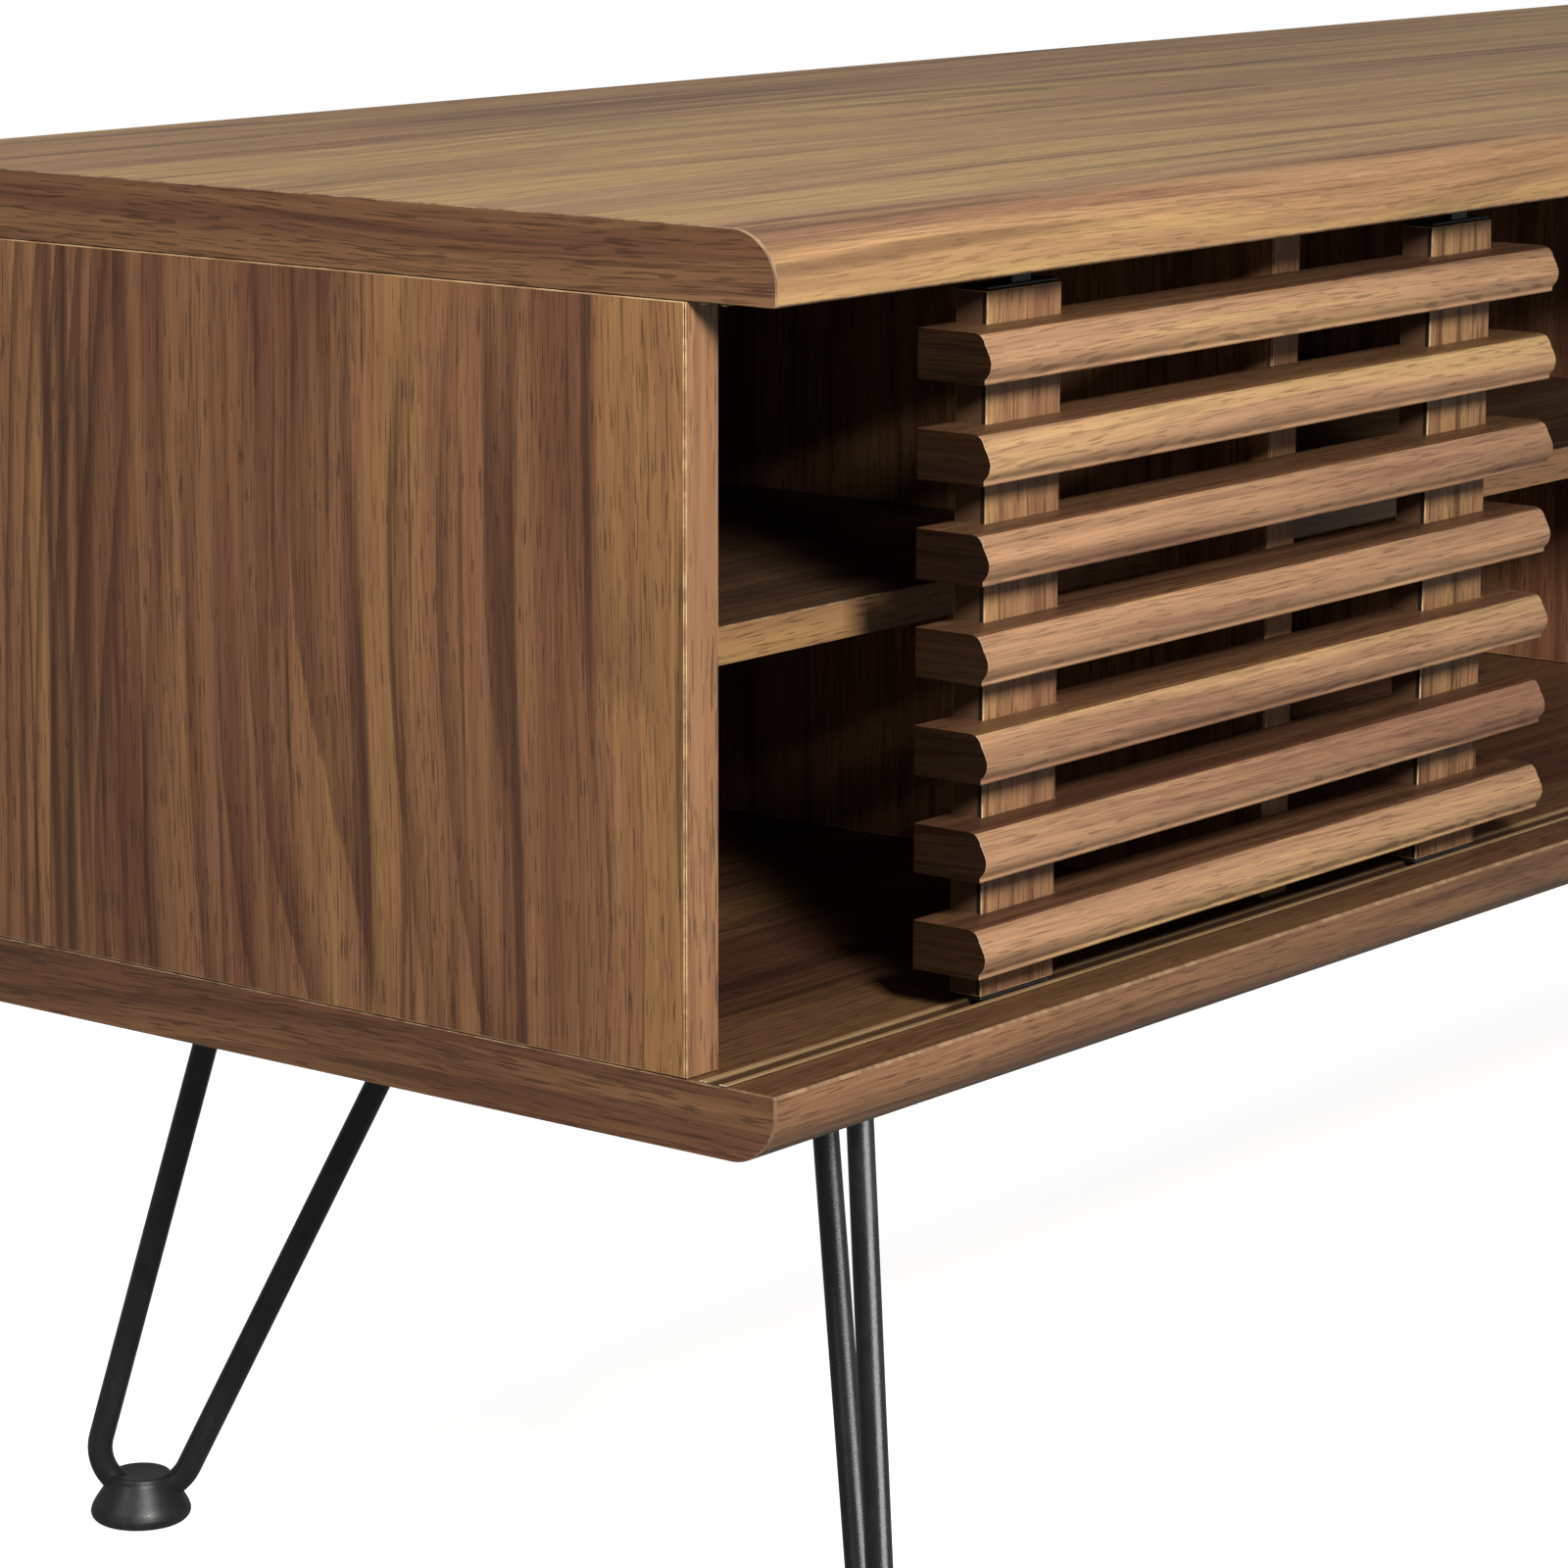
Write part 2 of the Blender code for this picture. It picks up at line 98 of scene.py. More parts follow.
TOP_LO, TOP_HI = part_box("top_panel")
LOW_LO, LOW_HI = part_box("bottom_panel")
BOARD_T = TOP_HI.z - TOP_LO.z
Y_NOSE, Y_REAR = TOP_LO.y, TOP_HI.y
X_END = TOP_HI.x
Z_CEIL, Z_DECK = TOP_LO.z, LOW_HI.z
LEG_H = LOW_LO.z
BACK_LO, BACK_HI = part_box("back_panel")
SIDES = {"left": -1, "right": 1}
CORNERS = {
    "front_left": (-1, -1), "front_right": (1, -1),
    "rear_left": (-1, 1), "rear_right": (1, 1),
}

SAME = -1                 # bevel faces take the material of the faces beside them
LINE, SECOND, THIRD = 1, 2, 3   # places after the first in a piece's materials

# ---------------------------------------------------------------- shader building
MIX_SHARE, MIX_FIRST, MIX_SECOND, MIX_RESULT = 0, 6, 7, 2   # colour sockets of a mix node
AXIS_COS = 0.8            # least cosine that counts as facing an axis


class Shader:
    """A node material, with short names for the nodes it is built from."""

    def __init__(self, name):
        self.material = bpy.data.materials.new(name)
        self.material.use_nodes = True
        self.tree = self.material.node_tree
        self.surface = self.tree.nodes["Principled BSDF"]
        source = self.tree.nodes.new("ShaderNodeTexCoord")
        self.place = source.outputs["Object"]
        self.normal = source.outputs["Normal"]

    def node(self, kind, inputs=(), **settings):
        made = self.tree.nodes.new(kind)
        for key, value in settings.items():
            setattr(made, key, value)
        for socket, value in inputs:
            if isinstance(value, bpy.types.NodeSocket):
                self.tree.links.new(value, made.inputs[socket])
            else:
                made.inputs[socket].default_value = value
        return made

    def math(self, operation, *values):
        return self.node("ShaderNodeMath", enumerate(values), operation=operation).outputs[0]

    def dot(self, vector, of=None):
        pair = enumerate((of or self.place, vector))
        return self.node("ShaderNodeVectorMath", pair, operation="DOT_PRODUCT").outputs["Value"]

    def vector(self, x, y, z):
        return self.node("ShaderNodeCombineXYZ", enumerate((x, y, z))).outputs[0]

    def noise(self, place, scale=(1, 1, 1), detail=2.0, roughness=0.5):
        """Noise of place stretched by scale, about 0.5 on average."""
        stretched = self.node(
            "ShaderNodeVectorMath", enumerate((place, scale)), operation="MULTIPLY").outputs[0]
        made = self.node("ShaderNodeTexNoise", (
            ("Vector", stretched), ("Scale", 1.0), ("Detail", detail), ("Roughness", roughness)))
        return made.outputs[0]

    def remap(self, value, low, high, to_low=0.0, to_high=1.0, kind="SMOOTHSTEP"):
        made = self.node("ShaderNodeMapRange", (
            ("Value", value), ("From Min", low), ("From Max", high),
            ("To Min", to_low), ("To Max", to_high)), interpolation_type=kind)
        return made.outputs[0]

    def ramp(self, value, stops):
        made = self.node("ShaderNodeValToRGB", (("Fac", value),))
        cells = made.color_ramp.elements
        while len(cells) < len(stops):
            cells.new(0.5)
        for cell, (at, colour) in zip(cells, stops):
            cell.position = at
            cell.color = (*colour, 1.0)
        return made.outputs[0]

    def mix(self, share, first, second, blend="MIX"):
        made = self.node("ShaderNodeMix", data_type="RGBA", blend_type=blend)
        for socket, value in ((MIX_SHARE, share), (MIX_FIRST, first), (MIX_SECOND, second)):
            if isinstance(value, bpy.types.NodeSocket):
                self.tree.links.new(value, made.inputs[socket])
            elif socket == MIX_SHARE:
                made.inputs[socket].default_value = value
            else:
                made.inputs[socket].default_value = (*value, 1.0)
        return made.outputs[MIX_RESULT]

    def bump(self, height, strength, distance):
        made = self.node("ShaderNodeBump", (
            ("Height", height), ("Strength", strength), ("Distance", distance)))
        self.tree.links.new(made.outputs[0], self.surface.inputs["Normal"])

    def feed(self, **sockets):
        for name, value in sockets.items():
            socket = self.surface.inputs[name.replace("_", " ")]
            if isinstance(value, bpy.types.NodeSocket):
                self.tree.links.new(value, socket)
            else:
                socket.default_value = value

    def facing(self, axis):
        """1 where the surface faces along +axis or -axis, else 0."""
        along = self.math("ABSOLUTE", self.dot(axis, of=self.normal))
        return self.math("GREATER_THAN", along, AXIS_COS)


def scaled(colour, factor):
    return tuple(c * factor for c in colour)


# ---------------------------------------------------------------- walnut
# Tones of the printed walnut, linear: dark line, red-brown, mid brown, golden tan.
DARK = (0.060, 0.026, 0.014)
RED = (0.200, 0.090, 0.046)
MID = (0.285, 0.145, 0.070)
GOLD = (0.380, 0.215, 0.088)
WALNUT = (DARK, RED, MID, GOLD)

WANDER = 0.022            # how far the grain strays sideways, metres
RINGS = 46.0              # growth rings per metre over the grain
RING_BEND = 12.0          # how strongly slow noise bends them into cathedrals
RING_FRAY = 0.14          # how ragged their edges are
RING_DARK = 0.62          # share of the dark tone in the late wood
PORE_DARK = 0.55
GRAIN_RELIEF = 0.00012    # height of the pores' relief, metres
STREAKS = (((1.9, 62.0, 7.0), 0.55), ((6.5, 300.0, 13.0), 0.42))   # noise scale, share of dark


def walnut(name, along, across, seed, level=1.0, tint=(1, 1, 1), figure=1.0, lines=1.0,
           pores=1.0, balance=0.0, gloss=0.44):
    """Printed walnut. along and across turn object space into distance with and over the grain.
    figure scales the broad rings, lines the dark streaks, balance leans red (-) or golden (+).
    A noise scale is per metre along the grain, per metre over it, and a step between boards."""
    dark, red, mid, gold = (
        tuple(level * share * part for share, part in zip(tint, tone)) for tone in WALNUT)
    look = Shader(name)
    run, over = look.dot(along), look.dot(across)
    flat = look.vector(run, over, seed)
    wander = look.noise(flat, (3.2, 8.0, 1.0), detail=1.0)
    over = look.math("MULTIPLY_ADD", wander, WANDER, over)
    grain = look.vector(run, over, seed)

    tone = look.noise(grain, (1.1, 20.0, 1.0), detail=3.0, roughness=0.55)
    streak = look.noise(grain, (3.0, 150.0, 2.0), detail=3.0, roughness=0.6)
    tone = look.math("MULTIPLY_ADD", streak, 0.55, tone)
    colour = look.ramp(look.remap(tone, 0.64 - balance, 0.94 - balance, kind="LINEAR"), (
        (0.0, red), (0.30, mid), (0.62, scaled(mid, 1.12)), (1.0, gold)))

    # growth rings: contours of a slow noise, dark at the late wood and sharp on one side
    slow = look.noise(grain, (1.5, 8.5, 3.0), detail=0.6)
    ragged = look.noise(grain, (5.0, 260.0, 1.0), detail=1.0)
    contour = look.math("MULTIPLY_ADD", slow, RING_BEND, look.math("MULTIPLY", over, RINGS))
    contour = look.math("MULTIPLY_ADD", ragged, RING_FRAY, contour)
    saw = look.math("FRACT", contour)
    late = look.math("MULTIPLY", look.remap(saw, 0.45, 0.97), look.remap(saw, 1.0, 0.96))
    patchy = look.remap(look.noise(grain, (2.3, 15.0, 5.0), detail=2.0), 0.38, 0.66)
    late = look.math("MULTIPLY", late, look.math("MULTIPLY", patchy, RING_DARK * figure))
    colour = look.mix(late, colour, dark)

    # dark mineral streaks, long and thin
    for scale, share in STREAKS:
        streak = look.remap(look.noise(grain, scale, detail=2.0, roughness=0.6), 0.565, 0.69)
        colour = look.mix(look.math("MULTIPLY", streak, share * lines), colour, dark)

    # fibres and pores
    fibre = look.noise(grain, (20.0, 820.0, 1.0), detail=2.0, roughness=0.6)
    shade = look.remap(fibre, 0.32, 0.68, 0.84, 1.14, kind="LINEAR")
    colour = look.mix(1.0, colour, look.vector(shade, shade, shade), blend="MULTIPLY")
    dash = look.noise(grain, (80.0, 1500.0, 9.0), detail=0.0)
    dense = look.remap(look.noise(grain, (5.0, 60.0, 11.0), detail=0.0), 0.3, 0.7, 0.66, 0.60)
    dash = look.remap(look.math("SUBTRACT", dash, dense), 0.0, 0.06)
    colour = look.mix(look.math("MULTIPLY", dash, PORE_DARK * pores), colour, scaled(dark, 0.9))

    look.feed(Base_Color=colour, Specular_IOR_Level=0.42,
              Roughness=look.remap(fibre, 0.3, 0.7, gloss - 0.07, gloss + 0.09, kind="LINEAR"))
    relief = look.math("SUBTRACT", look.math("MULTIPLY", fibre, 0.5), dash)
    look.bump(relief, 0.35, GRAIN_RELIEF)
    return look


def arris(name, light, dark, along):
    """The thin line where two laminates meet: light and ragged along its length, partly worn
    laminate and partly a painted highlight on the arris.
    """
    look = Shader(name)
    chips = look.noise(look.vector(look.dot(along), 0.0, 0.0), (240.0, 1.0, 1.0), detail=3.0)
    drift = look.noise(look.place, (90.0, 90.0, 90.0), detail=2.0)
    share = look.remap(look.math("MULTIPLY", look.math("ADD", chips, drift), 0.5), 0.40, 0.60)
    look.feed(Base_Color=look.mix(share, dark, light), Specular_IOR_Level=0.4,
              Roughness=look.remap(drift, 0.3, 0.7, 0.42, 0.6))
    return look.material


X, Y, Z = (1, 0, 0), (0, 1, 0), (0, 0, 1)
wood_top = walnut("walnut_top", X, (0, 1, 1), 1.7, 1.10, (0.98, 1.08, 1.06), figure=0.5,
                  pores=0.55, balance=0.08, gloss=0.42).material
wood_low = walnut("walnut_low", X, (0, -1, 1), 4.1, 0.90, figure=0.6, lines=1.2,
                  balance=-0.03).material
# painted shade: a much darker copy of the walnut for the boards' faces inside the cabinet, the deck
# and the top board's underside
wood_inside_shaded = walnut("walnut_inside_shaded", X, (0, 1, 1), 4.1, 0.34, (1.0, 0.88, 0.86), figure=0.4,
                   balance=-0.03).material
wood_end = walnut("walnut_end", Y, (0, 0, 1), 8.3, 0.71, (1.0, 0.95, 0.88), figure=0.7).material
wood_side = walnut("walnut_side", Z, (1, 1, 0), 2.9, 0.73, (1.08, 0.97, 0.90),
                   lines=1.4).material
wood_inner = walnut("walnut_inner", Z, (1, 1, 0), 6.4, 0.92, (1.1, 1.0, 1.0)).material
wood_band = walnut("walnut_band", Z, (1, 1, 0), 5.5, 0.87, figure=0.1, lines=0.5,
                   balance=0.04).material
wood_slat = walnut("walnut_slat", X, (0, 1, 1), 3.3, 1.10, (1.03, 1.12, 1.24), figure=0.05,
                   lines=0.6, pores=0.75).material
# painted shade: a darker copy of the walnut for the slats' top, underside and back, which get
# little of the light
wood_slat_flat_shaded = walnut("walnut_slat_flat_shaded", X, (0, 1, 1), 3.3, 0.38, (1.05, 0.93, 0.88),
                        figure=0.05, lines=0.8).material
# painted shade: a near-black copy of the walnut for the slats' cut ends, which lie in shade between
# the side board and the top board
wood_slat_end_shaded = walnut("walnut_slat_end_shaded", Y, (0, 0, 1), 9.6, 0.07, (1.0, 0.72, 0.40),
                       figure=0.3).material
# painted shade: a much darker copy of the walnut for the shelves, which stand in the shade of the
# bays
wood_shelf_shaded = walnut("walnut_shelf", X, (0, 1, 1), 7.2, 0.24, figure=0.5).material
wood_front_of_shelf = walnut("walnut_shelf_band", X, (0, 1, 1), 6.9, 0.78, figure=0.1, lines=0.4,
                         balance=0.08).material
# partly painted highlight: light lines on the bevelled arrises, along X, Y and Z
edge_wear_highlight_x = arris("arris_wear_highlight_x", (0.30, 0.185, 0.098), (0.19, 0.105, 0.055), X)
edge_wear_highlight_y = arris("arris_wear_highlight_y", (0.33, 0.215, 0.12), (0.15, 0.08, 0.042), Y)
edge_wear_highlight_z = arris("arris_wear_highlight_z", (0.52, 0.34, 0.17), (0.30, 0.17, 0.085), Z)


FILM_EDGE_HIGHLIGHT = (0.36, 0.24, 0.13)           # cut edge of the printed film on a stile, lightened in part as a painted highlight
GLUE_LINE = (0.012, 0.008, 0.006)   # dark line behind it
STILE_SIDE_SHADE = (0.085, 0.042, 0.022)  # painted shade: the dark side face of the stile, which lies in the slats' shadow
LAYERS_DEEP = 0.006                 # depth over which these follow each other


def stile_wood():
    """Door stile: striped walnut face; on its sides the film's light edge (partly a painted
    highlight), a dark line, and painted shade over the rest of the side.
    """
    look = walnut("walnut_stile", Z, (1, 1, 0), 12.6, 0.88, figure=0.1, lines=1.5, pores=1.1)
    face = look.surface.inputs["Base Color"].links[0].from_socket
    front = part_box("door_left_stile_a")[0].y
    depth = look.math("SUBTRACT", look.dot(Y), front)
    layers = look.ramp(look.remap(depth, 0.0, LAYERS_DEEP, kind="LINEAR"), (
        (0.0, FILM_EDGE_HIGHLIGHT), (0.06, FILM_EDGE_HIGHLIGHT), (0.10, GLUE_LINE), (0.30, GLUE_LINE), (0.36, STILE_SIDE_SHADE)))
    look.feed(Base_Color=look.mix(look.facing(X), face, layers))
    return look.material


def back_board():
    """Thin hardboard: printed walnut inside, bare brown fibreboard behind."""
    look = walnut("back_board", Z, (1, 1, 0), 15.2, 0.85, figure=0.8)
    face = look.surface.inputs["Base Color"].links[0].from_socket
    flecks = look.noise(look.place, (420.0, 420.0, 420.0), detail=4.0, roughness=0.7)
    clouds = look.noise(look.place, (9.0, 9.0, 9.0), detail=3.0)
    bare = look.ramp(look.math("MULTIPLY_ADD", flecks, 0.7, look.math("MULTIPLY", clouds, 0.3)), (
        (0.30, (0.115, 0.068, 0.036)), (0.50, (0.205, 0.130, 0.072)),
        (0.70, (0.290, 0.195, 0.115))))
    behind = look.math("GREATER_THAN", look.dot(Y, of=look.normal), 0.5)
    look.feed(Base_Color=look.mix(behind, face, bare))
    return look.material


CHANNEL_SHADE = (0.052, 0.026, 0.014)   # painted shade down in the channel


def track_plastic():
    """Tan extrusion with drag marks along it, dull, with painted shade down in the channel."""
    look = Shader("track_plastic")
    along = look.vector(look.dot(X), look.dot((0, 1, 1)), 0.0)
    drag = look.noise(along, (9.0, 2600.0, 1.0), detail=3.0)
    blotch = look.noise(look.place, (30.0, 300.0, 300.0), detail=2.0)
    body = look.ramp(look.math("MULTIPLY_ADD", drag, 0.6, look.math("MULTIPLY", blotch, 0.4)), (
        (0.30, (0.190, 0.108, 0.052)), (0.70, (0.330, 0.215, 0.108))))
    height = look.dot(Z)
    deep = look.math("MINIMUM", *(
        look.math("ABSOLUTE", look.math("SUBTRACT", height, face))
        for face in (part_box("track_bottom")[1].z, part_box("track_top")[0].z)))
    # painted shade: darker more than about a millimetre below the lips
    body = look.mix(look.remap(deep, 0.0003, 0.0011), body, CHANNEL_SHADE)
    look.feed(Base_Color=body, Specular_IOR_Level=0.4,
              Roughness=look.remap(drag, 0.3, 0.7, 0.30, 0.48))
    look.bump(drag, 0.25, 0.00008)
    return look.material


def cut_end_plastic():
    """Pale, torn look of the saw-cut plastic."""
    look = Shader("cut_plastic")
    torn = look.noise(look.place, (1100.0, 1100.0, 1100.0), detail=3.0, roughness=0.7)
    pale = look.remap(torn, 0.38, 0.62)
    look.feed(Base_Color=look.mix(pale, (0.30, 0.19, 0.10), (0.66, 0.58, 0.46)),
              Roughness=look.remap(torn, 0.3, 0.7, 0.5, 0.75))
    look.bump(torn, 0.5, 0.0002)
    return look.material


def moulded_black(name, colour, gloss, grain, relief):
    """Moulded plastic or powder coat: near black, fine orange-peel and faint dusting."""
    look = Shader(name)
    peel = look.noise(look.place, (grain,) * 3, detail=2.0, roughness=0.6)
    dust = look.noise(look.place, (60.0, 60.0, 25.0), detail=4.0, roughness=0.65)
    dusty = look.mix(look.remap(dust, 0.45, 0.75), colour, scaled(colour, 2.0))
    uneven = look.math("MULTIPLY_ADD", peel, 0.6, look.math("MULTIPLY", dust, 0.4))
    look.feed(Base_Color=dusty, Specular_IOR_Level=0.5,
              Roughness=look.remap(uneven, 0.3, 0.7, gloss - 0.07, gloss + 0.09))
    look.bump(peel, relief, 0.0001)
    return look.material


def zinc_steel():
    """Black-zinc screw: fine turning marks and bright worn edges."""
    look = Shader("screw_steel")
    turned = look.noise(look.place, (2200.0, 2200.0, 5000.0), detail=2.0)
    worn = look.noise(look.place, (700.0, 700.0, 700.0), detail=3.0)
    bright = look.remap(worn, 0.5, 0.7)
    look.feed(Base_Color=look.mix(bright, (0.07, 0.07, 0.075), (0.20, 0.20, 0.21)),
              Metallic=0.9, Roughness=look.remap(turned, 0.3, 0.7, 0.28, 0.45))
    look.bump(turned, 0.2, 0.00004)
    return look.material


wood_stile = stile_wood()
hardboard = back_board()
tan_plastic = track_plastic()
cut_plastic = cut_end_plastic()
guide_plastic = moulded_black("guide_plastic", (0.013, 0.014, 0.017), 0.30, 900.0, 0.10)
foot_plastic = moulded_black("foot_plastic", (0.013, 0.013, 0.014), 0.42, 1400.0, 0.16)
powder_coat = moulded_black("powder_coat", (0.012, 0.012, 0.013), 0.30, 1500.0, 0.45)
screw_steel = zinc_steel()


# ---------------------------------------------------------------- mesh building
MERGE = 0.000002          # points of a skin closer than this are one
AXIS_MERGE = 0.00001      # the same on the axis of a turned piece
FLAT_COS = 0.9            # least cosine between a face and the direction it is painted for


def piece(name, bm, body, materials, replaces=(), smooth=None):
    """Turn a bmesh into a named piece that rides on a CAD body."""
    bmesh.ops.recalc_face_normals(bm, faces=bm.faces)
    mesh = bpy.data.meshes.new(name)
    bm.to_mesh(mesh)
    bm.free()
    for material in materials:
        mesh.materials.append(material)
    if smooth:
        mesh.shade_smooth()
        mesh.set_sharp_from_angle(angle=math.radians(smooth))
    obj = bpy.data.objects.new(name, mesh)
    bpy.context.scene.collection.objects.link(obj)
    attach(obj, body)
    if replaces:
        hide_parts(*replaces)
    return obj


def eased(obj, width, segments=2, material=SAME, angle=35):
    """Break the sharp edges with a bevel whose faces can take their own material."""
    step = obj.modifiers.new("ease", "BEVEL")
    step.width = width
    step.segments = segments
    step.limit_method = "ANGLE"
    step.angle_limit = math.radians(angle)
    step.harden_normals = True
    step.material = material


def box(lo, hi):
    bm = bmesh.new()
    bmesh.ops.create_cube(bm, size=1.0)
    lo, hi = Vector(lo), Vector(hi)
    bmesh.ops.scale(bm, vec=hi - lo, verts=bm.verts)
    bmesh.ops.translate(bm, vec=(lo + hi) / 2, verts=bm.verts)
    return bm


def arc(cx, cy, radius, start, end, steps):
    """Points on an arc, angles in degrees."""
    angles = (math.radians(start + (end - start) * i / steps) for i in range(steps + 1))
    return [(cx + radius * math.cos(t), cy + radius * math.sin(t)) for t in angles]


def spline(points, steps):
    """Smooth curve through the points (Catmull-Rom)."""
    ends = [points[0], *points, points[-1]]
    out = [points[0]]
    for p0, p1, p2, p3 in zip(ends, ends[1:], ends[2:], ends[3:]):
        for i in range(1, steps + 1):
            t = i / steps
            out.append(tuple(
                0.5 * (2 * b + (c - a) * t + (2 * a - 5 * b + 4 * c - d) * t * t
                       + (3 * b - a - 3 * c + d) * t ** 3)
                for a, b, c, d in zip(p0, p1, p2, p3)))
    return out


def loft(rings):
    """Skin closed rings of equal length. The caps at both ends take the second material, and
    coincident points are merged."""
    bm = bmesh.new()
    rows = [[bm.verts.new(p) for p in ring] for ring in rings]
    for low, high in zip(rows, rows[1:]):
        for i in range(len(low)):
            j = (i + 1) % len(low)
            bm.faces.new((low[i], low[j], high[j], high[i]))
    for cap in (rows[0], rows[-1][::-1]):
        bm.faces.new(cap).material_index = SECOND
    bmesh.ops.remove_doubles(bm, verts=bm.verts, dist=MERGE)
    return bm


def prism(outline, x0, x1):
    """Extrude an outline of (y, z) points along X."""
    return loft([[(x, y, z) for y, z in outline] for x in (x0, x1)])


def lathe(profile, sides):
    """Turn an (r, z) profile round Z. The profile starts and ends on the axis."""
    bm = bmesh.new()
    verts = [bm.verts.new((r, 0, z)) for r, z in profile]
    edges = [bm.edges.new(pair) for pair in zip(verts, verts[1:])]
    bmesh.ops.spin(
        bm, geom=verts + edges, cent=(0, 0, 0), axis=(0, 0, 1), angle=2 * math.pi,
        steps=sides, use_merge=True, use_duplicate=False)
    bmesh.ops.remove_doubles(bm, verts=bm.verts, dist=AXIS_MERGE)
    return bm


def paint_faces(obj, direction, index):
    """Give the faces that look along direction their own material."""
    for face in obj.data.polygons:
        if face.normal.dot(Vector(direction)) > FLAT_COS:
            face.material_index = index


# ---------------------------------------------------------------- top and bottom boards
def board_outline(square_z, inward, machined):
    """Section of a board in (y, z). Heights run from its square face towards the round-over.
    A machined section has the track slot and the back board's groove, an end band has not."""
    lead = BOARD_T - NOSE_R
    track0 = Y_NOSE + TRACK_Y - TRACK_HALF
    track1 = Y_NOSE + TRACK_Y + TRACK_HALF
    points = [(Y_REAR, 0.0)]
    if machined:
        points += [(BACK_HI.y + GAP, 0.0), (BACK_HI.y + GAP, GROOVE_DEEP),
                   (BACK_LO.y - GAP, GROOVE_DEEP), (BACK_LO.y - GAP, 0.0),
                   (track1, 0.0), (track1, TRACK_DEEP), (track0, TRACK_DEEP), (track0, 0.0)]
    points += [(Y_NOSE + ARRIS, 0.0), (Y_NOSE, ARRIS), (Y_NOSE, lead)]
    points += arc(Y_NOSE + NOSE_R, lead, NOSE_R, 180, 90, ARC_STEPS)[1:]
    points += [(Y_REAR, BOARD_T)]
    return [(y, square_z + inward * h) for y, h in points]


def board(stem, node, square_z, inward, face, inside):
    """Board with its banded ends. inside is the material of its square face, the face towards the
    inside of the cabinet, which takes a darker copy of the walnut as painted shade.
    """
    reach = X_END - BAND_T
    core = piece(stem, prism(board_outline(square_z, inward, True), -reach, reach), "cabinet",
                 [face, edge_wear_highlight_x, inside], [node], smooth=20)
    paint_faces(core, (0, 0, -inward), SECOND)
    eased(core, BOARD_EASE, material=LINE, angle=40)
    for side, sign in SIDES.items():
        x0, x1 = sorted((sign * reach, sign * X_END))
        band = piece(f"{stem}_end_{side}", prism(board_outline(square_z, inward, False), x0, x1),
                     "cabinet", [wood_end, edge_wear_highlight_y, wood_end], smooth=20)
        eased(band, BAND_EASE, segments=1, material=LINE, angle=40)


def track_outline(lo, hi, inward):
    """Channel section in (y, z), open away from the board: walls, rolled lips, thick bed."""
    face = hi.z if inward < 0 else lo.z
    deep = lo.z if inward < 0 else hi.z
    middle = (lo.y + hi.y) / 2
    half = TRACK_HALF - GAP
    gap = half - TRACK_WALL
    bed = deep - inward * TRACK_WALL
    seat = face + inward * TRACK_LIP
    crown = face + inward * CROWN
    return [
        (middle - half, deep), (middle + half, deep), (middle + half, seat), (hi.y, seat),
        (hi.y, crown), (hi.y - LIP_OUT, face), (middle + gap + LIP_IN, face),
        (middle + gap, crown), (middle + gap, bed), (middle - gap, bed),
        (middle - gap, crown), (middle - gap - LIP_IN, face), (lo.y + LIP_OUT, face),
        (lo.y, crown), (lo.y, seat), (middle - half, seat)]


def track_tips(stem, lo, hi, reach):
    """Pale cut ends of the lower track's lips, run on over the end bands."""
    wide = hi.y - (lo.y + hi.y) / 2 - (TRACK_HALF - GAP - TRACK_WALL)
    for side, sign in SIDES.items():
        x0, x1 = sorted((sign * reach, sign * (X_END - TRACK_SHORT)))
        for edge, y0 in (("front", lo.y), ("rear", hi.y - wide)):
            tip = piece(f"{stem}_tip_{edge}_{side}",
                        box((x0, y0, hi.z - TRACK_LIP), (x1, y0 + wide, hi.z)),
                        "cabinet", [cut_plastic])
            eased(tip, TIP_EASE, segments=1)


def track(stem, node, inward, tips=False):
    """Plastic channel between the end bands."""
    lo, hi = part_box(node)
    reach = X_END - BAND_T - TRACK_SHORT
    piece(stem, prism(track_outline(lo, hi, inward), -reach, reach), "cabinet",
          [tan_plastic] * 3, [node], smooth=20)
    if tips:
        track_tips(stem, lo, hi, reach)


track("track_channel_bottom", "track_bottom", -1, tips=True)
track("track_channel_top", "track_top", 1)
board("top_board", "top_panel", Z_CEIL, 1, wood_top, wood_inside_shaded)
board("bottom_board", "bottom_panel", Z_DECK, -1, wood_low, wood_inside_shaded)


# ---------------------------------------------------------------- uprights and shelves
def panel(stem, node, face, band, line, outer=None):
    """Upright or shelf with a band on its front edge. With outer, the face material covers only
    the side that looks that way and the rear edge, and the inner walnut covers the rest."""
    lo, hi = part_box(node)
    core = piece(stem, box((lo.x, lo.y + BAND_T, lo.z), hi), "cabinet",
                 [wood_inner if outer else face, line, face], [node])
    if outer:
        paint_faces(core, outer, SECOND)
        paint_faces(core, (0, 1, 0), SECOND)
    eased(core, EASE, material=LINE)
    strip = piece(f"{stem}_band", box(lo, (hi.x, lo.y + BAND_T - BAND_GAP, hi.z)), "cabinet",
                  [band, line])
    eased(strip, BAND_EASE, segments=1, material=LINE)


for side, sign in SIDES.items():
    panel(f"side_board_{side}", f"side_{side}", wood_side, wood_band, edge_wear_highlight_z,
          outer=(sign, 0, 0))
for spot in ("left", "center", "right"):
    panel(f"divider_board_{spot}", f"divider_{spot}", wood_inner, wood_band, edge_wear_highlight_z)
for bay in ("left", "center_left", "center_right", "right"):
    panel(f"shelf_board_{bay}", f"shelf_{bay}", wood_shelf_shaded, wood_front_of_shelf, edge_wear_highlight_x)


